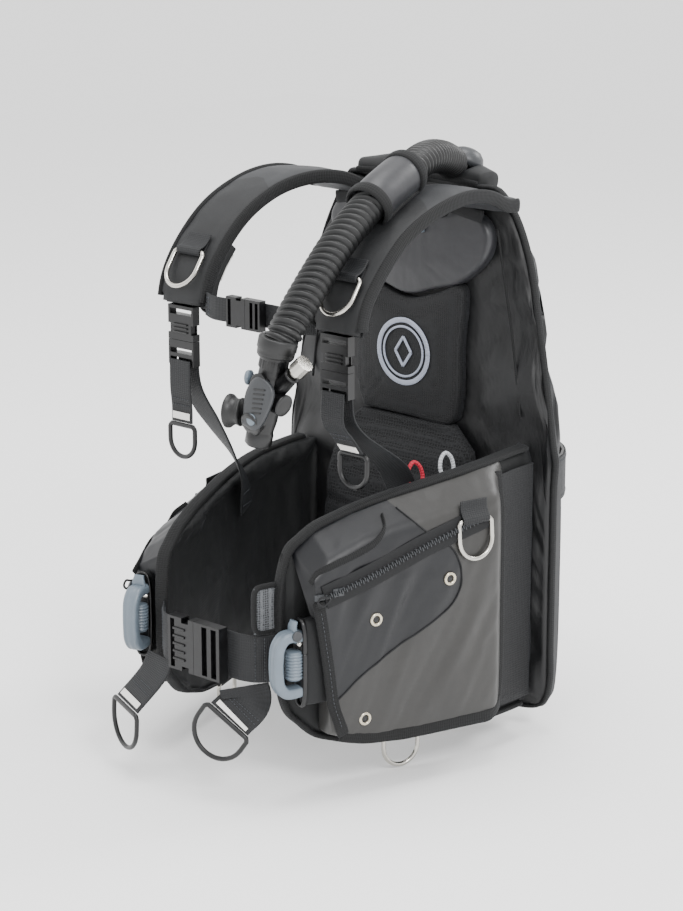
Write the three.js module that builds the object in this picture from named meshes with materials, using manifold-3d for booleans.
// Buoyancy compensator vest, in millimetres.
// Origin: the centre of the tank band, on the tank's axis. +Z runs up the tank, -Y to the front of the
// vest, +X to the wearer's left.
//
// Fabric follows pattern points drawn for the medium size and graded to the vest's own size.
// Hardware keeps its real size, and is placed on the graded points.
import * as THREE from "three";
import { mergeVertices } from "three/addons/utils/BufferGeometryUtils.js";
import Module from "manifold-3d";

const wasm = await Module();
wasm.setup();

// ---------------------------------------------------------------- driving dimensions
const VEST_WIDTH = 363.6; // across the outside of the two pockets
const VEST_DEPTH = 282.5; // from the back pad's face to the front of the lobes
const VEST_HEIGHT = 575; // from the hem to the top of the collar

const TANK_RADIUS = 92; // a common 184 mm cylinder
const BAND_THICKNESS = 3;
const BAND_WIDTH = 50;
const PLATE_THICKNESS = 7;
const CELL_THICKNESS = 13; // the empty air cell over the spine
const PAD_THICKNESS = 14;

const WAIST_WEBBING = 50;
const CHEST_WEBBING = 30;
const STERNUM_WEBBING = 25;
const WEBBING_THICKNESS = 2.4;
const STRAP_WIDTH = 64; // padded shoulder strap
const STRAP_THICKNESS = 16;

const LOBE_THICKNESS = 32;
const POUCH_THICKNESS = 20;
const POUCH_HEIGHT = 90;
const POUCH_LENGTH = 128;
const POCKET_WALL = 3;

const HOSE_DIAMETER = 35;
const RING_WIRE = 5;
const GAP = 0.4; // clearance between pieces that touch

// ---------------------------------------------------------------- places that follow from them
const PLATE_BACK_Y = -TANK_RADIUS - 1;
const PLATE_FRONT_Y = PLATE_BACK_Y - PLATE_THICKNESS;
const CELL_BACK_Y = PLATE_FRONT_Y - GAP;
const CELL_FRONT_Y = CELL_BACK_Y - CELL_THICKNESS;
const PAD_BACK_Y = CELL_FRONT_Y - GAP;
const PAD_FACE_Y = PAD_BACK_Y - PAD_THICKNESS;

const MEDIUM = { width: 363.6, depth: 282.5, height: 575, padFaceY: -127.8, cellTop: 333.6 };
const COLLAR_RISE = 27.4; // the collar's top above the air cell's rounded edge, the same in every size
const GRADE = {
  x: VEST_WIDTH / MEDIUM.width,
  y: VEST_DEPTH / MEDIUM.depth,
  z: (VEST_HEIGHT - COLLAR_RISE) / (MEDIUM.height - COLLAR_RISE),
};

// A pattern point of the medium size, graded. Points behind the pad's face keep their depth there,
// and points above the air cell keep their height over it.
function grade(x, y, z) {
  const forward = Math.min(0, y - MEDIUM.padFaceY);
  const behind = Math.max(0, y - MEDIUM.padFaceY);
  const above = Math.max(0, z - MEDIUM.cellTop);
  return new THREE.Vector3(
    x * GRADE.x, PAD_FACE_Y + forward * GRADE.y + behind, (z - above) * GRADE.z + above,
  );
}
const mirror = (v, side) => new THREE.Vector3(v.x * side, v.y, v.z);
const UP = new THREE.Vector3(0, 0, 1);
const SIDES = [["left", 1], ["right", -1]];

// ---------------------------------------------------------------- colours
const FINISHES = {
  black_nylon: { color: 0x18191b, roughness: 0.85, metalness: 0 },
  grey_nylon: { color: 0x6f7278, roughness: 0.7, metalness: 0 },
  black_mesh: { color: 0x141414, roughness: 0.95, metalness: 0 },
  black_webbing: { color: 0x1e2023, roughness: 0.8, metalness: 0 },
  black_plastic: { color: 0x17181a, roughness: 0.45, metalness: 0 },
  grey_plastic: { color: 0x7c828a, roughness: 0.5, metalness: 0 },
  light_grey_plastic: { color: 0x9aa3aa, roughness: 0.45, metalness: 0 },
  stainless: { color: 0xc8c6c0, roughness: 0.25, metalness: 1 },
  black_rubber: { color: 0x1b1d20, roughness: 0.7, metalness: 0 },
};
const materials = {};
for (const [name, look] of Object.entries(FINISHES)) {
  materials[name] = new THREE.MeshStandardMaterial({ name, ...look });
}

const vest = new THREE.Group();
function add(name, geometry, finish) {
  const mesh = new THREE.Mesh(geometry, materials[finish]);
  mesh.name = name;
  vest.add(mesh);
  return mesh;
}

// ---------------------------------------------------------------- shape tools
function bareOf(geometry) {
  const bare = geometry.clone();
  bare.deleteAttribute("normal");
  bare.deleteAttribute("uv");
  return bare;
}

function solidOf(geometry) {
  const merged = mergeVertices(bareOf(geometry), 1e-3);
  return new wasm.Manifold(
    new wasm.Mesh({
      numProp: 3,
      vertProperties: new Float32Array(merged.attributes.position.array),
      triVerts: new Uint32Array(merged.index.array),
    }),
  );
}

function geometryOf(solid) {
  const mesh = solid.getMesh();
  const geometry = new THREE.BufferGeometry();
  geometry.setAttribute("position", new THREE.BufferAttribute(mesh.vertProperties, 3));
  geometry.setIndex(new THREE.BufferAttribute(mesh.triVerts, 1));
  return geometry;
}

const joined = (...geometries) =>
  geometryOf(geometries.map(solidOf).reduce((a, b) => a.add(b)));
const cut = (geometry, ...tools) =>
  geometryOf(tools.map(solidOf).reduce((a, b) => a.subtract(b), solidOf(geometry)));

function box(width, depth, height, x = 0, y = 0, z = 0) {
  return new THREE.BoxGeometry(width, depth, height).translate(x, y, z);
}

// A cylinder between two points.
function rod(from, to, radius, sides = 12, endRadius = radius) {
  const along = to.clone().sub(from);
  const geometry = new THREE.CylinderGeometry(endRadius, radius, along.length(), sides);
  geometry.translate(0, along.length() / 2, 0);
  const turn = new THREE.Quaternion().setFromUnitVectors(
    new THREE.Vector3(0, 1, 0), along.normalize(),
  );
  return geometry.applyQuaternion(turn).translate(from.x, from.y, from.z);
}

// A closed skin through rings of points. Open lofts get flat ends, closed ones join up.
function loft(rings, loop = false) {
  const count = rings[0].length;
  const positions = rings.flat().flatMap((p) => [p.x, p.y, p.z]);
  const faces = [];
  const last = loop ? rings.length : rings.length - 1;
  for (let i = 0; i < last; i++) {
    const a = i * count;
    const b = ((i + 1) % rings.length) * count;
    for (let j = 0; j < count; j++) {
      const k = (j + 1) % count;
      faces.push(a + j, b + k, b + j, a + j, a + k, b + k);
    }
  }
  if (!loop) {
    for (const [ring, base, flip] of [
      [rings[0], 0, false],
      [rings[rings.length - 1], (rings.length - 1) * count, true],
    ]) {
      for (const [p, q, r] of capOf(ring)) {
        faces.push(base + p, base + (flip ? q : r), base + (flip ? r : q));
      }
    }
  }
  const geometry = new THREE.BufferGeometry();
  geometry.setAttribute("position", new THREE.Float32BufferAttribute(positions, 3));
  geometry.setIndex(faces);
  return facingOut(geometry);
}

// The triangles that close a flat ring, wound as the ring runs.
function capOf(ring) {
  const normal = new THREE.Vector3();
  ring.forEach((p, i) => normal.add(p.clone().cross(ring[(i + 1) % ring.length])));
  normal.normalize();
  const across = ring[1].clone().sub(ring[0]).normalize();
  const along = normal.clone().cross(across);
  const flat = ring.map((p) => new THREE.Vector2(p.dot(across), p.dot(along)));
  return THREE.ShapeUtils.triangulateShape(flat, []);
}

function facingOut(geometry) {
  const index = geometry.index.array;
  const p = geometry.attributes.position;
  const corner = (i) => new THREE.Vector3().fromBufferAttribute(p, i);
  let volume = 0;
  for (let i = 0; i < index.length; i += 3) {
    volume += corner(index[i]).dot(corner(index[i + 1]).cross(corner(index[i + 2])));
  }
  if (volume < 0) {
    for (let i = 0; i < index.length; i += 3) {
      [index[i + 1], index[i + 2]] = [index[i + 2], index[i + 1]];
    }
  }
  return geometry;
}

// Points round a rounded rectangle: power 2 is an ellipse, and larger is squarer.
function roundedSection(halfWidth, halfHeight, count = 12, power = 3) {
  return Array.from({ length: count }, (_, i) => {
    const angle = ((i + 0.5) / count) * 2 * Math.PI;
    const bend = (v) => Math.sign(v) * Math.abs(v) ** (2 / power);
    return [halfWidth * bend(Math.cos(angle)), halfHeight * bend(Math.sin(angle))];
  });
}
const flatSection = (halfWidth, halfHeight) =>
  [[1, 1], [-1, 1], [-1, -1], [1, -1]].map(([u, v]) => [u * halfWidth, v * halfHeight]);

const curveOf = (points) => new THREE.CatmullRomCurve3(points, false, "centripetal");

// A band that follows a curve. across is the direction of its width; width and thickness may be
// functions of the share of the length.
function band(points, { width, thickness, across, steps = 8, section = roundedSection, sides = 10 }) {
  const curve = curveOf(points);
  const valueOf = (value, t) => (typeof value === "function" ? value(t) : value);
  const rings = [];
  for (let i = 0; i <= steps; i++) {
    const t = i / steps;
    const centre = curve.getPointAt(t);
    const tangent = curve.getTangentAt(t);
    const wide = valueOf(across, t).clone();
    wide.addScaledVector(tangent, -wide.dot(tangent)).normalize();
    const normal = tangent.clone().cross(wide);
    rings.push(
      section(valueOf(width, t) / 2, valueOf(thickness, t) / 2, sides).map(([u, v]) =>
        centre.clone().addScaledVector(wide, u).addScaledVector(normal, v)),
    );
  }
  return loft(rings);
}

const webbing = (points, width, across, steps = 6) =>
  band(points, { width, thickness: WEBBING_THICKNESS, across, steps, section: flatSection });

// A wire ring: a straight bar along X on top, and a bow that hangs below it.
function wireRing(barLength, drop, wire = RING_WIRE, sides = 6, bowSteps = 9) {
  const half = barLength / 2;
  const corner = wire * 0.6;
  const path = [[-half + corner, 0], [half - corner, 0], [half, -corner]];
  const bowTop = Math.min(-corner - 1, half - drop);
  for (let i = 0; i <= bowSteps; i++) {
    const angle = (i / bowSteps) * Math.PI;
    path.push([half * Math.cos(angle), bowTop - (drop + bowTop) * Math.sin(angle)]);
  }
  path.push([-half, -corner]);
  const rings = path.map(([x, z], i) => {
    const before = path[(i + path.length - 1) % path.length];
    const after = path[(i + 1) % path.length];
    const tangent = new THREE.Vector2(after[0] - before[0], after[1] - before[1]).normalize();
    return Array.from({ length: sides }, (_, j) => {
      const angle = ((j + 0.5) / sides) * 2 * Math.PI;
      const out = (Math.cos(angle) * wire) / 2;
      return new THREE.Vector3(
        x - tangent.y * out, (Math.sin(angle) * wire) / 2, z + tangent.x * out,
      );
    });
  });
  return loft(rings, true);
}

// Puts a geometry with its own X, Y and Z where those directions and that place are.
function placed(geometry, origin, xAxis, zAxis) {
  const x = xAxis.clone().normalize();
  const z = zAxis.clone().addScaledVector(x, -zAxis.dot(x)).normalize();
  const y = z.clone().cross(x);
  return geometry.applyMatrix4(new THREE.Matrix4().makeBasis(x, y, z).setPosition(origin));
}

// A mirrored copy across the YZ plane, with its faces turned to point out again.
function mirrored(geometry, side) {
  if (side > 0) return geometry;
  const copy = geometry.index ? geometry.clone() : mergeVertices(geometry.clone());
  return facingOut(copy.scale(-1, 1, 1));
}

// ---------------------------------------------------------------- harness behind the diver
const RIB_X = 0.56 * TANK_RADIUS;
const RIB_WIDTH = 16;
// The ribs reach as far as the tank's wall at their outer edge.
const RIB_HEIGHT =
  -PLATE_BACK_Y - Math.sqrt((TANK_RADIUS + 1) ** 2 - (RIB_X - RIB_WIDTH / 2) ** 2);
function backplate() {
  const width = 168;
  const bottom = -130;
  const top = 236;
  const corner = 26;
  const outline = new THREE.Shape();
  outline.moveTo(-width / 2 + corner, bottom);
  outline.lineTo(width / 2 - corner, bottom);
  outline.quadraticCurveTo(width / 2, bottom, width / 2, bottom + corner);
  outline.lineTo(width / 2 - 14, top - 40);
  outline.quadraticCurveTo(width / 2 - 24, top, width / 2 - 54, top);
  outline.lineTo(-width / 2 + 54, top);
  outline.quadraticCurveTo(-width / 2 + 24, top, -width / 2 + 14, top - 40);
  outline.lineTo(-width / 2, bottom + corner);
  outline.quadraticCurveTo(-width / 2, bottom, -width / 2 + corner, bottom);
  const plate = new THREE.ExtrudeGeometry(outline, {
    depth: PLATE_THICKNESS, bevelEnabled: false, curveSegments: 3,
  });
  plate.rotateX(Math.PI / 2).translate(0, PLATE_BACK_Y, 0);
  const groove = box(width + 4, 2 * (BAND_THICKNESS + GAP - 1), BAND_WIDTH + 4, 0, PLATE_BACK_Y, 0);
  const ribs = [];
  for (const side of [-1, 1]) {
    for (const [low, high] of [[-118, -34], [40, 200]]) {
      const ribX = side * RIB_X;
      ribs.push(box(RIB_WIDTH, RIB_HEIGHT + 1, high - low, ribX,
        PLATE_BACK_Y + RIB_HEIGHT / 2 - 0.5, (high + low) / 2));
    }
  }
  const handSlot = box(86, 40, 24, 0, PLATE_BACK_Y, top - 30);
  return cut(joined(plate, ...ribs), groove, handSlot);
}
add("backplate", backplate(), "black_plastic");

function ringSection(inner, outer, low, high, steps = 28) {
  const rings = Array.from({ length: steps }, (_, i) => {
    const angle = (i / steps) * 2 * Math.PI;
    const direction = new THREE.Vector3(Math.cos(angle), Math.sin(angle), 0);
    return [[inner, low], [outer, low], [outer, high], [inner, high]].map(([r, z]) =>
      direction.clone().multiplyScalar(r).setZ(z));
  });
  return loft(rings, true);
}
const CAM_ANGLE = 2.2; // radians round the tank from +X, on the wearer's right at the back
const camOut = new THREE.Vector3(Math.cos(CAM_ANGLE), Math.sin(CAM_ANGLE), 0);
const camAlong = new THREE.Vector3(-Math.sin(CAM_ANGLE), Math.cos(CAM_ANGLE), 0);
const BAND_OUTER = TANK_RADIUS + BAND_THICKNESS;
const CAM_LENGTH = 62;
const CAM_EAR = 7;

// The frame of the cam buckle is stitched into the band, so the two are one piece.
function tankBand() {
  const loop = ringSection(TANK_RADIUS, BAND_OUTER, -BAND_WIDTH / 2, BAND_WIDTH / 2);
  const base = box(30, 8, BAND_WIDTH + 2 * CAM_EAR + 2);
  const middle = box(40, 20, BAND_WIDTH + 2, 0, 8, 0);
  const frame = cut(joined(base, ...[-1, 1].map((end) =>
    box(18, 16, CAM_EAR, 0, 8, end * (BAND_WIDTH / 2 + 1 + CAM_EAR / 2)))), middle);
  // Own X runs round the band and own Y out from the tank.
  frame.applyMatrix4(new THREE.Matrix4().makeBasis(camAlong.clone().negate(), camOut, UP)
    .setPosition(camOut.clone().multiplyScalar(BAND_OUTER + 2)));
  return joined(loop, frame);
}
add("tank_band", tankBand(), "black_webbing");

const camPivot = camOut.clone().multiplyScalar(BAND_OUTER + 13);
function camLever() {
  const half = BAND_WIDTH / 2 + 0.5;
  const hub = rod(new THREE.Vector3(0, 0, -half), new THREE.Vector3(0, 0, half), 6, 10);
  const blade = box(CAM_LENGTH, 5, BAND_WIDTH - 2, CAM_LENGTH / 2, 0, 0);
  return joined(hub, blade).applyMatrix4(new THREE.Matrix4()
    .makeBasis(camAlong.clone().negate().applyAxisAngle(UP, 0.3),
      camOut.clone().applyAxisAngle(UP, 0.3), UP)
    .setPosition(camPivot));
}
add("cam_lever", camLever(), "black_plastic");

// ---------------------------------------------------------------- air cell and pads
// Half of the cell from the spine outwards: x, top, bottom and how far back it bulges there.
const CELL_STATIONS = [
  [0, 334, -182, 0], [40, 336, -190, 0], [70, 338, -200, 0], [87, 339, -206, 0],
  [99, 337, -209, 14], [118, 314, -212, 24], [140, 268, -214, 22], [158, 200, -214, 13],
  [172, 120, -211, 14], [182, 64, -196, 12],
];
function airCell() {
  const half = CELL_STATIONS.map(([x, top, bottom, bulge]) => ({ x, top, bottom, bulge }));
  const across = [...half.slice(1).reverse().map((s) => ({ ...s, x: -s.x })), ...half];
  const rings = across.map(({ x, top, bottom, bulge }) => {
    const back = CELL_BACK_Y + bulge;
    const low = bottom * GRADE.z;
    const high = top * GRADE.z;
    return roundedSection((back - CELL_FRONT_Y) / 2, (high - low) / 2, 12, 3.5).map(([y, z]) =>
      new THREE.Vector3(x * GRADE.x, (back + CELL_FRONT_Y) / 2 + y, (high + low) / 2 + z));
  });
  return loft(rings);
}
add("air_cell", airCell(), "black_nylon");

function panel(points, thickness, faceY) {
  const outline = new THREE.Shape(points.map(([x, z]) => new THREE.Vector2(x * GRADE.x, z * GRADE.z)));
  const slab = new THREE.ExtrudeGeometry(outline, { depth: thickness, bevelEnabled: false });
  return slab.rotateX(Math.PI / 2).translate(0, faceY + thickness, 0);
}
const PAD_TOP = [[72, 236], [40, 226], [0, 216], [-40, 226], [-72, 236]];
const PAD_OUTLINE = [[-62, 86], [62, 86], [70, 110], ...PAD_TOP, [-70, 110]];
add("back_pad", panel(PAD_OUTLINE, PAD_THICKNESS, PAD_FACE_Y), "black_nylon");
const YOKE_BOTTOM = PAD_TOP.map(([x, z]) => [x, z + 1.5]).reverse();
add("shoulder_yoke",
  panel([[-104, 268], ...YOKE_BOTTOM, [104, 268], [110, 292], [98, 310], [60, 318], [-60, 318],
    [-98, 310], [-110, 292]], PAD_THICKNESS, PAD_FACE_Y), "grey_nylon");

function lumbarPad() {
  const stations = [[84, 66, 2], [60, 92, 10], [10, 104, 22], [-60, 108, 26], [-120, 102, 18], [-160, 84, 2]];
  const rings = stations.map(([z, halfWidth, bulge]) => {
    const face = PAD_FACE_Y - bulge;
    return roundedSection(halfWidth * GRADE.x, (PAD_BACK_Y - face) / 2, 14, 4).map(([x, y]) =>
      new THREE.Vector3(x, (PAD_BACK_Y + face) / 2 + y, z * GRADE.z));
  });
  return loft(rings);
}
add("lumbar_pad", lumbarPad(), "black_mesh");

function collar() {
  const points = [
    grade(-86, -98, 344), grade(-50, -92, 345.4), grade(0, -88, 347), grade(50, -92, 345.4), grade(86, -98, 344),
  ];
  return band(points, {
    width: (t) => 40 - 12 * (2 * t - 1) ** 4, thickness: (t) => 36 - 16 * (2 * t - 1) ** 2,
    across: new THREE.Vector3(0, 1, 0), steps: 10, sides: 12,
  });
}
const collarSolid = collar();

// ---------------------------------------------------------------- lobes, pockets and weight pouches
// A lobe's plan, from the air cell to its front edge: x, y, thickness share, top and bottom.
const LOBE_STATIONS = [
  [150, -113.8, 1.0, 77, -206], [150, -150, 1.0, 76, -206], [147, -200, 1.0, 72, -205],
  [135, -250, 1.0, 65, -203], [118, -300, 0.95, 57, -202], [104, -342, 0.85, 48, -196],
  [91, -382, 0.62, 34, -180], [84, -409, 0.34, 12, -150],
];
const LOBE_DROOP = 42; // how much lower the top of the wearer's right lobe hangs, empty of air
const hangsLower = (side) => (side < 0 ? LOBE_DROOP * GRADE.z : 0);
const lobeCurve = curveOf(LOBE_STATIONS.map(([x, y]) => grade(x, y, 0)));
const LOBE_POWER = 3.2;
const LOBE_REACH = Math.sin((5 / 12) * Math.PI) ** (2 / LOBE_POWER); // the twelve-sided section's own height
function alongLobe(t, side = 1) {
  const place = t * (LOBE_STATIONS.length - 1);
  const i = Math.min(Math.floor(place), LOBE_STATIONS.length - 2);
  const [a, b] = [LOBE_STATIONS[i], LOBE_STATIONS[i + 1]];
  const mix = (k) => a[k] + (b[k] - a[k]) * (place - i);
  const tangent = lobeCurve.getTangent(t);
  return {
    centre: lobeCurve.getPoint(t),
    tangent,
    out: new THREE.Vector3(-tangent.y, tangent.x, 0),
    thickness: mix(2) * LOBE_THICKNESS,
    top: mix(3) * GRADE.z - hangsLower(side),
    bottom: mix(4) * GRADE.z,
  };
}
function lobe(side) {
  const rings = LOBE_STATIONS.map((_, i) => {
    const at = alongLobe(i / (LOBE_STATIONS.length - 1), side);
    const section = roundedSection(at.thickness / 2, (at.top - at.bottom) / 2, 12, LOBE_POWER);
    return section.map(([n, z]) =>
      at.centre.clone().addScaledVector(at.out, n).setZ((at.top + at.bottom) / 2 + z));
  });
  return mirrored(loft(rings), side);
}

// The front of the lobe is straight, so the pouch slides along it.
const POUCH_T = 0.72;
const pouchLine = alongLobe(POUCH_T);
const pouchOut = pouchLine.out.clone();
const pouchForward = pouchLine.tangent.clone();
const SLEEVE_IN = LOBE_THICKNESS / 2 + GAP; // the sleeve's inner side, out from the lobe's middle
const SLEEVE_OUT = SLEEVE_IN + POUCH_THICKNESS + 4;
const POCKET_OUT = SLEEVE_OUT + POCKET_WALL;
const POCKET_STEPS = 7;
const POCKET_FROM = 0.23; // shares of the lobe's length
const POCKET_TO = 0.87;
// The lobe's side is straight between its stations, and the pocket's flanges clear it there too.
const FLANGE_CLEARANCE = 1.8 * GAP * Math.max(1, GRADE.x, GRADE.y) ** 2;

// How far the lobe's side is from its middle at a height.
function lobeSide(at, z) {
  const middle = (at.top + at.bottom) / 2;
  const section = roundedSection(at.thickness / 2, (at.top - at.bottom) / 2, 12, LOBE_POWER);
  const quarter = section.filter(([n, height]) => n > 0 && height > 0).sort((a, b) => a[1] - b[1]);
  const height = Math.abs(z - middle);
  const above = quarter.findIndex(([, h]) => h > height);
  if (above < 1) return quarter[above < 0 ? quarter.length - 1 : 0][0];
  const [[n0, h0], [n1, h1]] = [quarter[above - 1], quarter[above]];
  return n0 + ((n1 - n0) * (height - h0)) / (h1 - h0);
}

// The pocket bag: an outer face with a top, a bottom and a back, open to the front.
function pocket(side) {
  const rings = [];
  for (let i = 0; i <= POCKET_STEPS; i++) {
    const t = POCKET_FROM + (POCKET_TO - POCKET_FROM) * (i / POCKET_STEPS);
    const at = alongLobe(t, side);
    const swell = Math.min(1, 0.3 + 0.7 * (i / 2)); // it grows out of the lobe over two steps
    const least = at.thickness / 2 + GAP + POCKET_WALL + 8;
    const outer = least + (POCKET_OUT - least) * swell;
    const top = at.top - 16 * GRADE.z;
    const bottom = at.bottom + 10 * GRADE.z;
    const wall = POCKET_WALL;
    const innerTop = lobeSide(at, top - wall) + FLANGE_CLEARANCE;
    const innerBottom = lobeSide(at, bottom + wall) + FLANGE_CLEARANCE;
    rings.push([
      [innerTop, top], [outer - 8, top], [outer, top - 14], [outer, bottom + 14], [outer - 8, bottom],
      [innerBottom, bottom], [innerBottom, bottom + wall], [outer - 8 - wall / 2, bottom + wall],
      [outer - wall, bottom + 14 + wall / 2], [outer - wall, top - 14 - wall / 2],
      [outer - 8 - wall / 2, top - wall], [innerTop, top - wall],
    ].map(([n, z]) => at.centre.clone().addScaledVector(at.out, n).setZ(z)));
  }
  return mirrored(loft(rings), side);
}

const POUCH_Z = -92 * GRADE.z;
const POUCH_CLEARANCE = 0.6; // to the pocket's wall
const pouchMiddle = pouchLine.centre.clone()
  .addScaledVector(pouchOut, SLEEVE_OUT - POUCH_THICKNESS / 2 - POUCH_CLEARANCE).setZ(POUCH_Z);
const pouchFront = pouchMiddle.clone().addScaledVector(pouchForward, POUCH_LENGTH / 2);
function weightPouch(side) {
  const pouch = band(
    [-0.5, -0.2, 0.2, 0.5].map((share) =>
      pouchMiddle.clone().addScaledVector(pouchForward, share * POUCH_LENGTH)),
    { width: (t) => POUCH_HEIGHT * (1 - 0.12 * Math.abs(2 * t - 1) ** 4), thickness: POUCH_THICKNESS,
      across: UP, steps: 4, sides: 10 },
  );
  return mirrored(pouch, side);
}

// A grip on the pouch's front end: a bowed bar on two feet.
const GRIP_HEIGHT = 62;
function weightGrip(side) {
  const reach = 26;
  const half = GRIP_HEIGHT / 2;
  const bow = [[1, -half + 4], [reach * 0.7, -half + 3], [reach, -half + 16], [reach + 2, 0],
    [reach, half - 16], [reach * 0.7, half - 3], [1, half - 4]].map(([f, z]) =>
    pouchFront.clone().addScaledVector(pouchForward, f).setZ(POUCH_Z + z));
  return mirrored(band(bow, { width: 18, thickness: 13, across: pouchOut, steps: 12, sides: 8 }), side);
}

for (const [name, side] of SIDES) {
  add(name + "_lobe", lobe(side), "black_nylon");
  add(name + "_pocket", pocket(side), "grey_nylon");
  add(name + "_weight_pouch", weightPouch(side), "black_nylon");
  add(name + "_weight_grip", weightGrip(side), "light_grey_plastic");
}

// ---------------------------------------------------------------- shoulder straps
const STRAP_POINTS = [
  [94, -110.4, 326], [96, -128, 327.7], [99, -155, 339], [103, -192, 344], [107, -236, 338],
  [107, -288, 317], [107, -326, 284], [106, -347, 254], [106, -354, 228],
];
const strapCurve = curveOf(STRAP_POINTS.map((p) => grade(...p)));
function shoulderStrap(side) {
  const strap = band(STRAP_POINTS.map((p) => grade(...p)), {
    width: (t) => STRAP_WIDTH + 18 * Math.max(0, 1 - 2.2 * t), thickness: STRAP_THICKNESS,
    across: new THREE.Vector3(1, 0, 0), steps: 12, sides: 10,
  });
  return mirrored(strap, side);
}
for (const [name, side] of SIDES) add(name + "_shoulder_strap", shoulderStrap(side), "black_nylon");

// ---------------------------------------------------------------- side-release buckles
// Own X points along the pull, Z along the webbing's width and Y out of the face.
function buckleSizes(webbing, housing, plug) {
  return {
    webbing, wide: webbing + 6, thick: 0.12 * webbing + 6, mouth: 0.6 * housing, tail: 0.4 * housing,
    male: plug, wall: 1.6,
  };
}
const chestBuckle = buckleSizes(CHEST_WEBBING, 36, 26);
const sternumBuckle = buckleSizes(STERNUM_WEBBING, 26, 20);
const waistBuckle = buckleSizes(WAIST_WEBBING, 36, 36);
// The housing: its mouth is at x 0, and its webbing slot is at the closed end.
function buckleFemale({ webbing, wide, thick, mouth, tail, wall }) {
  const length = mouth + tail;
  const shell = box(length, thick, wide, -length / 2, 0, 0);
  const hollow = box(mouth + 2, thick - 2 * wall, wide - 2 * wall, -mouth / 2 + 1, 0, 0);
  const slot = box(tail * 0.4, thick + 4, webbing + 1, -mouth - tail * 0.55, 0, 0);
  const windows = [-1, 1].map((end) =>
    box(mouth * 0.45, thick + 4, wide * 0.14, -mouth * 0.55, 0, end * (wide / 2 - wide * 0.02)));
  return cut(shell, hollow, slot, ...windows);
}
// The plug: a ladder outside the mouth, and a tongue and two prongs inside the housing.
function buckleMale({ webbing, wide, thick, mouth, male, wall }) {
  const ladder = cut(
    box(male, thick, wide, male / 2 + GAP, 0, 0),
    box(male * 0.2, thick + 4, webbing + 1, male * 0.42 + GAP, 0, 0),
    box(male * 0.2, thick + 4, webbing + 1, male * 0.78 + GAP, 0, 0),
  );
  const inside = thick - 2 * wall - 2 * GAP;
  const reach = mouth - 2;
  const tongue = box(reach, inside, wide * 0.16, -reach / 2 + 1, 0, 0);
  const prongs = [-1, 1].map((end) => {
    const edge = wide / 2 - wide * 0.09 - GAP - 1;
    return box(reach, inside, wide * 0.13, -reach / 2 + 1, 0, end * (edge - wide * 0.065));
  });
  return joined(ladder, tongue, ...prongs);
}

// Shoulder buckles: the housing under the padded strap, the plug below it.
const strapEnd = strapCurve.getPointAt(1);
const housingTop = strapEnd.clone().setZ(strapEnd.z - 1.6);
const chestMouth = housingTop.clone().setZ(housingTop.z - chestBuckle.mouth - chestBuckle.tail);
const plugBottom = chestMouth.z - GAP - chestBuckle.male;
const DOWN = new THREE.Vector3(0, 0, -1);
for (const [name, side] of SIDES) {
  const across = new THREE.Vector3(1, 0, 0);
  add(name + "_shoulder_buckle_housing",
    mirrored(placed(buckleFemale(chestBuckle), chestMouth, DOWN, across), side), "black_plastic");
  add(name + "_shoulder_buckle_plug",
    mirrored(placed(buckleMale(chestBuckle), chestMouth, DOWN, across), side), "black_plastic");
}

// The webbing from the plug to the lobe's inner face runs behind the plug, clear of its pull.
const behindPlug = chestMouth.y + chestBuckle.thick / 2 + GAP + WEBBING_THICKNESS / 2;
const SIDE_ANCHOR_T = 0.46;
const sideAnchor = alongLobe(SIDE_ANCHOR_T);
function sideWebbing(side) {
  const x = chestMouth.x;
  const anchor = sideAnchor.centre.clone()
    .addScaledVector(sideAnchor.out, -LOBE_THICKNESS / 2 - 1.4)
    .setZ(alongLobe(SIDE_ANCHOR_T, side).top - 34);
  const points = [
    new THREE.Vector3(x, behindPlug, plugBottom + 12), new THREE.Vector3(x, behindPlug, plugBottom - 6),
    new THREE.Vector3(x, behindPlug + 5, plugBottom - 26),
    anchor.clone().add(new THREE.Vector3(-7, -14, 42)), anchor,
  ];
  const turned = sideAnchor.tangent.clone().negate();
  return mirrored(webbing(points, CHEST_WEBBING, (t) =>
    new THREE.Vector3(1, 0, 0).lerp(turned, Math.max(0, (t - 0.35) / 0.65)), 9), side);
}

// The loose end in front of the plug, with a ring to pull it tight.
const frontOfPlug = chestMouth.y - chestBuckle.thick / 2 - GAP - WEBBING_THICKNESS / 2;
const CHEST_PULL_TOP = plugBottom + 6;
const CHEST_PULL_OVER_LOBE = 56; // the webbing's end above the lobe, with room for its ring
const CHEST_PULL_LENGTH = CHEST_PULL_TOP - alongLobe(5 / 7).top - CHEST_PULL_OVER_LOBE;
const CHEST_PULL_SWAY = 26; // how far back the wearer's left one hangs
function chestPullPoints(side) {
  const x = chestMouth.x;
  const sway = side > 0 ? CHEST_PULL_SWAY : 0;
  const stations = [[0, 0], [0, 31 / 66], [2 + sway / 2, 0.75], [2 + sway, 1]];
  return stations.map(([back, share]) =>
    new THREE.Vector3(x, frontOfPlug + back, CHEST_PULL_TOP - CHEST_PULL_LENGTH * share));
}
const PULL_RING_DROP = 34;
for (const [name, side] of SIDES) {
  add(name + "_side_webbing", sideWebbing(side), "black_webbing");
  add(name + "_chest_pull_webbing",
    mirrored(webbing(chestPullPoints(side), CHEST_WEBBING, new THREE.Vector3(1, 0, 0), 5), side),
    "black_webbing");
  const [, , before, end] = chestPullPoints(side).map((p) => mirror(p, side));
  const onwards = end.clone().sub(before).normalize();
  const ringTop = end.clone().addScaledVector(onwards, GAP + RING_WIRE / 2 + 0.2);
  add(name + "_chest_pull_ring",
    placed(wireRing(CHEST_WEBBING + 6, PULL_RING_DROP), ringTop, new THREE.Vector3(1, 0, 0), UP),
    "black_plastic");
}

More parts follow.
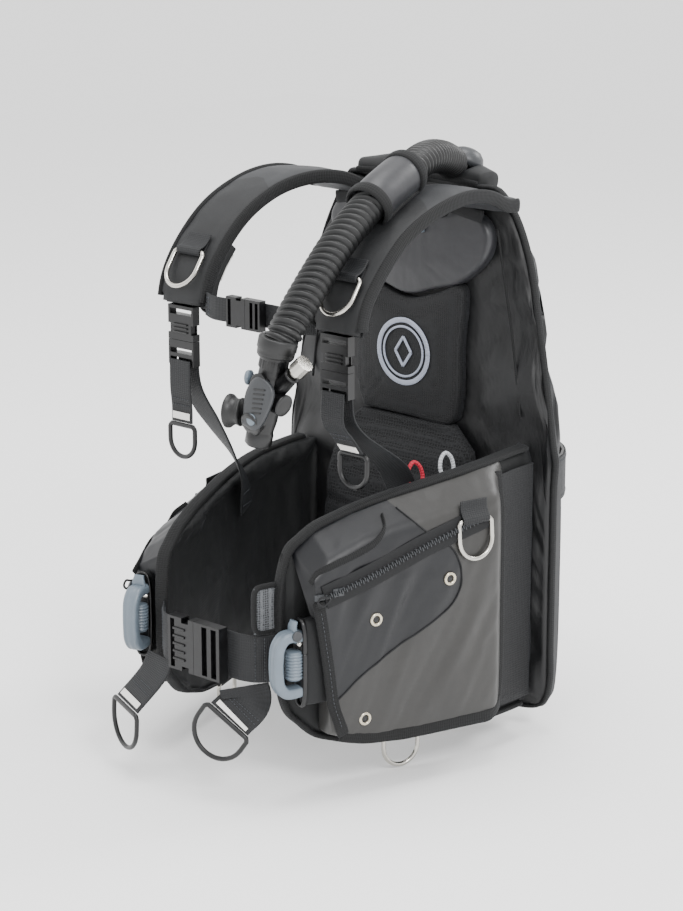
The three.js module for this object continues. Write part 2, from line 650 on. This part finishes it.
// ---------------------------------------------------------------- sternum strap
const STERNUM_T = 0.985; // where it leaves the padded straps
const sternumRoot = strapCurve.getPointAt(STERNUM_T);
const sternumInner = sternumRoot.clone().setX(sternumRoot.x - STRAP_WIDTH / 2 + 0.8 - GAP);
const sternumY = sternumRoot.y - 10;
const sternumMouth = new THREE.Vector3(-6, sternumY, sternumRoot.z);
const WEARER_LEFT = new THREE.Vector3(1, 0, 0);
add("sternum_buckle_housing", placed(buckleFemale(sternumBuckle), sternumMouth, WEARER_LEFT, UP),
  "black_plastic");
add("sternum_buckle_plug", placed(buckleMale(sternumBuckle), sternumMouth, WEARER_LEFT, UP),
  "black_plastic");
{
  const housingEnd = sternumMouth.x - sternumBuckle.mouth - sternumBuckle.tail - GAP;
  const right = [
    new THREE.Vector3(-sternumInner.x, sternumRoot.y, sternumRoot.z),
    new THREE.Vector3((housingEnd - sternumInner.x) / 2, sternumY, sternumRoot.z),
    new THREE.Vector3(housingEnd, sternumY, sternumRoot.z),
  ];
  add("sternum_webbing_right", webbing(right, STERNUM_WEBBING, UP, 4), "black_webbing");
  const behind = sternumY + sternumBuckle.thick / 2 + GAP + WEBBING_THICKNESS / 2;
  const ladder = sternumMouth.x + GAP + 3;
  const left = [
    new THREE.Vector3(sternumInner.x, sternumRoot.y + 2, sternumRoot.z),
    new THREE.Vector3(sternumInner.x - 14, behind, sternumRoot.z),
    new THREE.Vector3(ladder + 20, behind, sternumRoot.z), new THREE.Vector3(ladder, behind, sternumRoot.z),
  ];
  add("sternum_webbing_left", webbing(left, STERNUM_WEBBING, UP, 5), "black_webbing");
}

// ---------------------------------------------------------------- waist belt
const WAIST_Z = -94 * GRADE.z;
const lobeFront = alongLobe(1);
const waistY = grade(0, -446, 0).y;
const waistMouth = new THREE.Vector3(0, waistY, WAIST_Z);
const beltY = waistY + waistBuckle.thick / 2 + GAP + WEBBING_THICKNESS / 2;
add("waist_buckle_housing", placed(buckleFemale(waistBuckle), waistMouth, WEARER_LEFT, UP), "black_plastic");
add("waist_buckle_plug", placed(buckleMale(waistBuckle), waistMouth, WEARER_LEFT, UP), "black_plastic");
{
  const start = lobeFront.centre.clone().addScaledVector(lobeFront.tangent, GAP + 1).setZ(WAIST_Z);
  const housingEnd = waistMouth.x - waistBuckle.mouth - waistBuckle.tail - GAP;
  add("right_waist_webbing", webbing([
    mirror(start, -1), new THREE.Vector3(housingEnd - 14, waistY + 4, WAIST_Z),
    new THREE.Vector3(housingEnd, waistY, WAIST_Z),
  ], WAIST_WEBBING, UP, 5), "black_webbing");
  const ladder = waistMouth.x + GAP + 4;
  add("left_waist_webbing", webbing([
    start, new THREE.Vector3(start.x - 14, beltY + 7, WAIST_Z),
    new THREE.Vector3(ladder + waistBuckle.male + 14, beltY + 0.4, WAIST_Z),
    new THREE.Vector3(ladder + waistBuckle.male, beltY, WAIST_Z), new THREE.Vector3(ladder, beltY, WAIST_Z),
  ], WAIST_WEBBING, UP, 6), "black_webbing");
}

// The loose ends of the belt hang from its lower edge, each turned its own way. They start beside the
// plug on the left and beside the housing on the right.
const PULL_TOP_Z = WAIST_Z - WAIST_WEBBING / 2 - GAP - 0.5;
const besidePlug = waistBuckle.male - 4 + WAIST_WEBBING / 2;
const besideHousing = -waistBuckle.mouth - waistBuckle.tail - WAIST_WEBBING / 2;
const WAIST_PULLS = {
  left: {
    across: new THREE.Vector3(0.743, 0.669, 0),
    line: [[besidePlug, 0, -3.9], [besidePlug + 3, 0, -18], [besidePlug - 3, -18, -34]],
  },
  right: {
    across: new THREE.Vector3(1, -0.25, 0),
    line: [[besideHousing, 0, 0], [besideHousing - 2, -9, -16], [besideHousing - 14, -35, -46]],
  },
};
for (const [name] of SIDES) {
  const { across, line } = WAIST_PULLS[name];
  const points = line.map(([x, y, z]) => new THREE.Vector3(x, beltY + y, PULL_TOP_Z + z));
  add(name + "_waist_pull_webbing", webbing(points, WAIST_WEBBING, across, 4), "black_webbing");
  const end = points[2].clone().sub(points[1]).normalize();
  const top = points[2].clone().addScaledVector(end, GAP + RING_WIRE / 2 + 0.3);
  const bar = across.clone().addScaledVector(end, -across.dot(end));
  add(name + "_waist_pull_ring", placed(wireRing(WAIST_WEBBING + 6, 44), top, bar, UP), "black_plastic");
}

// ---------------------------------------------------------------- stainless D-rings
const DRING_BAR = 40;
const DRING_DROP = 40;
const HEM_RING_DROP = 33;
const STRAP_RING_T = 0.83; // share of the strap's length
const strapRing = strapCurve.getPointAt(STRAP_RING_T);
const strapRingTangent = strapCurve.getTangentAt(STRAP_RING_T);
const strapRingOut = new THREE.Vector3(0, strapRingTangent.z, -strapRingTangent.y);
if (strapRingOut.y > 0) strapRingOut.negate();
const pocketRingAt = alongLobe(0.36);
const POCKET_RING_Z = 30 * GRADE.z;
for (const [name, side] of SIDES) {
  const shoulder = strapRing.clone().addScaledVector(strapRingOut, STRAP_THICKNESS / 2 + RING_WIRE / 2 + GAP);
  const hang = strapRingTangent.clone().negate();
  add(name + "_shoulder_dring",
    placed(wireRing(DRING_BAR, DRING_DROP), mirror(shoulder, side), WEARER_LEFT, hang), "stainless");
  const onPocket = pocketRingAt.centre.clone()
    .addScaledVector(pocketRingAt.out, POCKET_OUT + RING_WIRE / 2)
    .setZ(POCKET_RING_Z - hangsLower(side));
  const lean = UP.clone().addScaledVector(pocketRingAt.out, -0.08);
  add(name + "_pocket_dring",
    placed(wireRing(DRING_BAR, DRING_DROP), mirror(onPocket, side), mirror(pocketRingAt.tangent, side),
      mirror(lean, side)), "stainless");
  const hem = alongLobe(0.51, side);
  const underHem = hem.centre.clone()
    .setZ(hem.bottom + ((1 - LOBE_REACH) * (hem.top - hem.bottom)) / 2 - RING_WIRE / 2 - GAP);
  add(name + "_hem_dring",
    placed(wireRing(DRING_BAR, HEM_RING_DROP), mirror(underHem, side), mirror(hem.tangent, side), UP),
    "stainless");
}

// ---------------------------------------------------------------- inflator and its hose
const HOSE_POINTS = [
  [41, -102, 359], [56, -140, 371], [72, -184, 376], [84, -230, 367], [92, -284, 348],
  [95, -339, 314], [92, -383, 268], [87, -403, 239], [84, -412, 224],
];
const hoseCurve = curveOf(HOSE_POINTS.map((p) => grade(...p)));
const hoseSection = new THREE.Shape();
for (let i = 0; i < 12; i++) {
  const angle = (i / 12) * 2 * Math.PI;
  const [x, y] = [Math.cos(angle) * HOSE_DIAMETER / 2, Math.sin(angle) * HOSE_DIAMETER / 2];
  if (i === 0) hoseSection.moveTo(x, y);
  else hoseSection.lineTo(x, y);
}
const hose = new THREE.ExtrudeGeometry(hoseSection, { steps: 14, extrudePath: hoseCurve });
add("corrugated_hose", hose, "black_rubber");

// The elbow stands on the air cell inside the collar, and the hose pushes onto it.
const hoseTop = hoseCurve.getPointAt(0);
const hoseTopTangent = hoseCurve.getTangentAt(0);
const elbowEnd = hoseTop.clone().addScaledVector(hoseTopTangent, -GAP - 2.3);
const elbowCorner = elbowEnd.clone().addScaledVector(hoseTopTangent, -16);
const ELBOW_DROP = 30;
const elbowFoot = elbowCorner.clone().setZ(elbowCorner.z - ELBOW_DROP);
function elbow() {
  const arm = rod(elbowCorner, elbowEnd, HOSE_DIAMETER / 2 - 1, 12);
  const stem = rod(elbowFoot, elbowCorner.clone().setZ(elbowCorner.z + 10), HOSE_DIAMETER / 2 - 1, 12);
  return joined(arm, stem);
}
const elbowSolid = elbow();
add("hose_elbow", elbowSolid, "black_plastic");
const elbowRoom = joined(
  rod(elbowFoot.clone().setZ(elbowFoot.z - 1), elbowCorner.clone().setZ(elbowCorner.z + 40),
    HOSE_DIAMETER / 2, 12),
  rod(elbowCorner, hoseTop.clone().addScaledVector(hoseTopTangent, 60), HOSE_DIAMETER / 2 + 1.5, 12),
);
add("collar", cut(collarSolid, elbowRoom), "black_nylon");

// The flap that holds the hose on the strap: a sleeve round it, closed with hook and loop.
const RETAINER_WIDTH = 66;
const RETAINER_T = 0.37; // share of the hose's length
function retainer() {
  const rings = [];
  const inner = HOSE_DIAMETER / 2 + 1.2;
  for (let i = 0; i <= 4; i++) {
    const t = RETAINER_T + (RETAINER_WIDTH / hoseCurve.getLength()) * (i / 4);
    const centre = hoseCurve.getPointAt(t);
    const tangent = hoseCurve.getTangentAt(t);
    const across = WEARER_LEFT.clone().addScaledVector(tangent, -WEARER_LEFT.dot(tangent)).normalize();
    const above = tangent.clone().cross(across);
    if (above.z < 0) above.negate();
    const arc = (radius) => Array.from({ length: 11 }, (_, k) => {
      const angle = THREE.MathUtils.degToRad(-50 + 28 * k);
      return centre.clone().addScaledVector(across, radius * Math.cos(angle))
        .addScaledVector(above, radius * Math.sin(angle));
    });
    rings.push([...arc(inner), ...arc(inner + 4).reverse()]);
  }
  return loft(rings);
}
add("hose_retainer", retainer(), "grey_nylon");

// The inflator's own Z runs up its body to the hose, Y to the back, and X to the wearer's left.
const hoseEnd = hoseCurve.getPointAt(1);
const hoseEndTangent = hoseCurve.getTangentAt(1);
const inflatorUp = new THREE.Vector3(0.16, 0.12, 1).normalize();
const inflatorTop = hoseEnd.clone().addScaledVector(hoseEndTangent, GAP + 6);
const BODY_LENGTH = 98;
const BODY_RADIUS = 14.5;
const INFLATE_RADIUS = 7.5;
const BUTTON_TRAVEL = 3;
const inflator = new THREE.Group();
inflator.position.copy(inflatorTop);
inflator.quaternion.setFromUnitVectors(UP, inflatorUp);
vest.add(inflator);
function addInflator(name, geometry, finish) {
  const mesh = add(name, geometry, finish);
  inflator.add(mesh);
}
const local = (x, y, z) => new THREE.Vector3(x, y, z);

function inflatorBody() {
  const profile = [
    [0, 0], [14, 0], [17, -3], [17, -8], [14.5, -10], [14.5, -18], [13, -20], [BODY_RADIUS, -30],
    [BODY_RADIUS, -70], [12.5, -82], [13.5, -84], [13.5, -BODY_LENGTH + 2], [11.5, -BODY_LENGTH],
    [0, -BODY_LENGTH],
  ];
  const tube = new THREE.LatheGeometry(profile.map(([r, z]) => new THREE.Vector2(r, z)).reverse(), 16);
  tube.rotateX(Math.PI / 2);
  const inletBoss = rod(local(8, 2, -40), local(25, 2, -18), 9, 12, 7.5);
  const plugBoss = rod(local(0, 0, -48), local(24, 0, -50), 11, 12);
  const exhaustBoss = rod(local(0, 2, -66), local(-20, -6, -70), 12, 12);
  const buttonBoss = rod(local(0, 0, -34), local(-17, -6, -34), 10, 12);
  const well = rod(local(-13.5, -4.8, -34), local(-30, -10.6, -34), INFLATE_RADIUS + 0.6, 16);
  const shell = facingOut(mergeVertices(bareOf(tube), 1e-3));
  return cut(joined(shell, inletBoss, plugBoss, exhaustBoss, buttonBoss), well);
}
const inflateOut = local(-17, -6, 0).normalize();
addInflator("inflator_body", inflatorBody(), "black_plastic");

// The grey cover plate lies on the front of the body.
function inflatorCover() {
  const outline = new THREE.Shape();
  outline.moveTo(-9, -78);
  outline.quadraticCurveTo(2, -84, 9, -78);
  outline.lineTo(19, -58);
  outline.quadraticCurveTo(26, -46, 20, -34);
  outline.quadraticCurveTo(12, -26, -2, -27);
  outline.quadraticCurveTo(-13, -30, -12, -44);
  outline.lineTo(-9, -78);
  const plate = new THREE.ExtrudeGeometry(outline, { depth: 4, bevelEnabled: false, curveSegments: 4 });
  plate.rotateX(Math.PI / 2).translate(0, -BODY_RADIUS - GAP, 0);
  return plate;
}
addInflator("inflator_cover", inflatorCover(), "grey_plastic");
const buttonFrom = inflateOut.clone().multiplyScalar(15 + BUTTON_TRAVEL).setZ(-34);
addInflator("inflate_button",
  rod(buttonFrom, buttonFrom.clone().addScaledVector(inflateOut, 7), INFLATE_RADIUS, 12), "black_plastic");
// The exhaust button sits in the middle of the mouthpiece and is pressed into it.
const exhaustOut = local(-20, -6, -4).normalize();
const exhaustRoot = local(-20, -6, -70).addScaledVector(exhaustOut, GAP + 0.9);
const MOUTH_RADIUS = 17;
const EXHAUST_RADIUS = 9;
const EXHAUST_TRAVEL = 3.5;
function mouthpiece() {
  const shell = rod(exhaustRoot, exhaustRoot.clone().addScaledVector(exhaustOut, 16), 14, 16, MOUTH_RADIUS);
  const well = rod(exhaustRoot.clone().addScaledVector(exhaustOut, 5),
    exhaustRoot.clone().addScaledVector(exhaustOut, 20), EXHAUST_RADIUS + 0.6, 16);
  return cut(shell, well);
}
addInflator("mouthpiece", mouthpiece(), "black_rubber");
addInflator("exhaust_button",
  rod(exhaustRoot.clone().addScaledVector(exhaustOut, 5 + EXHAUST_TRAVEL + 0.5),
    exhaustRoot.clone().addScaledVector(exhaustOut, 19), EXHAUST_RADIUS, 12), "grey_plastic");
const inletOut = local(17, 0, 22).normalize();
const inletRoot = local(25, 2, -18).addScaledVector(inletOut, GAP);
addInflator("inlet_coupling", joined(
  rod(inletRoot, inletRoot.clone().addScaledVector(inletOut, 6), 5, 10),
  rod(inletRoot.clone().addScaledVector(inletOut, 5.5), inletRoot.clone().addScaledVector(inletOut, 19), 9, 12)),
  "black_plastic");

// ---------------------------------------------------------------- dump valves
function dumpValve(radius, height) {
  const profile = [[0, 0], [radius, 0], [radius, height * 0.35], [radius * 0.82, height * 0.8],
    [radius * 0.4, height], [0, height]];
  const dome = new THREE.LatheGeometry(profile.map(([r, z]) => new THREE.Vector2(r, z)), 16);
  return facingOut(mergeVertices(bareOf(dome), 1e-3));
}
const REAR_VALVE_BACK = 23.7; // the cell's own bulge there
const rearValve = new THREE.Vector3(-118 * GRADE.x, CELL_BACK_Y + REAR_VALVE_BACK, -120 * GRADE.z);
add("rear_dump_valve",
  placed(dumpValve(24, 12).rotateX(Math.PI / 2), rearValve, WEARER_LEFT, new THREE.Vector3(0, 1, 0)),
  "black_plastic");
const cordTop = rearValve.clone().add(new THREE.Vector3(0, 2.5, -24 - GAP));
add("rear_dump_toggle", joined(
  rod(cordTop, cordTop.clone().setZ(cordTop.z - 30), 1.5, 6),
  rod(cordTop.clone().setZ(cordTop.z - 28), cordTop.clone().setZ(cordTop.z - 44), 6, 10)), "black_rubber");

// ---------------------------------------------------------------- zip sliders
// Each zip runs along the flat of the pocket, and its slider is at the front end.
const zipAt = alongLobe(0.83);
const ZIP_Z = -20 * GRADE.z;
for (const [name, side] of SIDES) {
  const root = zipAt.centre.clone().addScaledVector(zipAt.out, POCKET_OUT + GAP + 2.6)
    .setZ(ZIP_Z - hangsLower(side));
  const slider = joined(box(12, 4.4, 8), box(22, 2, 6, 14, -1.6, -3));
  add(name + "_zip_slider",
    mirrored(placed(slider, root, zipAt.tangent, UP), side), "black_plastic");
}

export default vest;
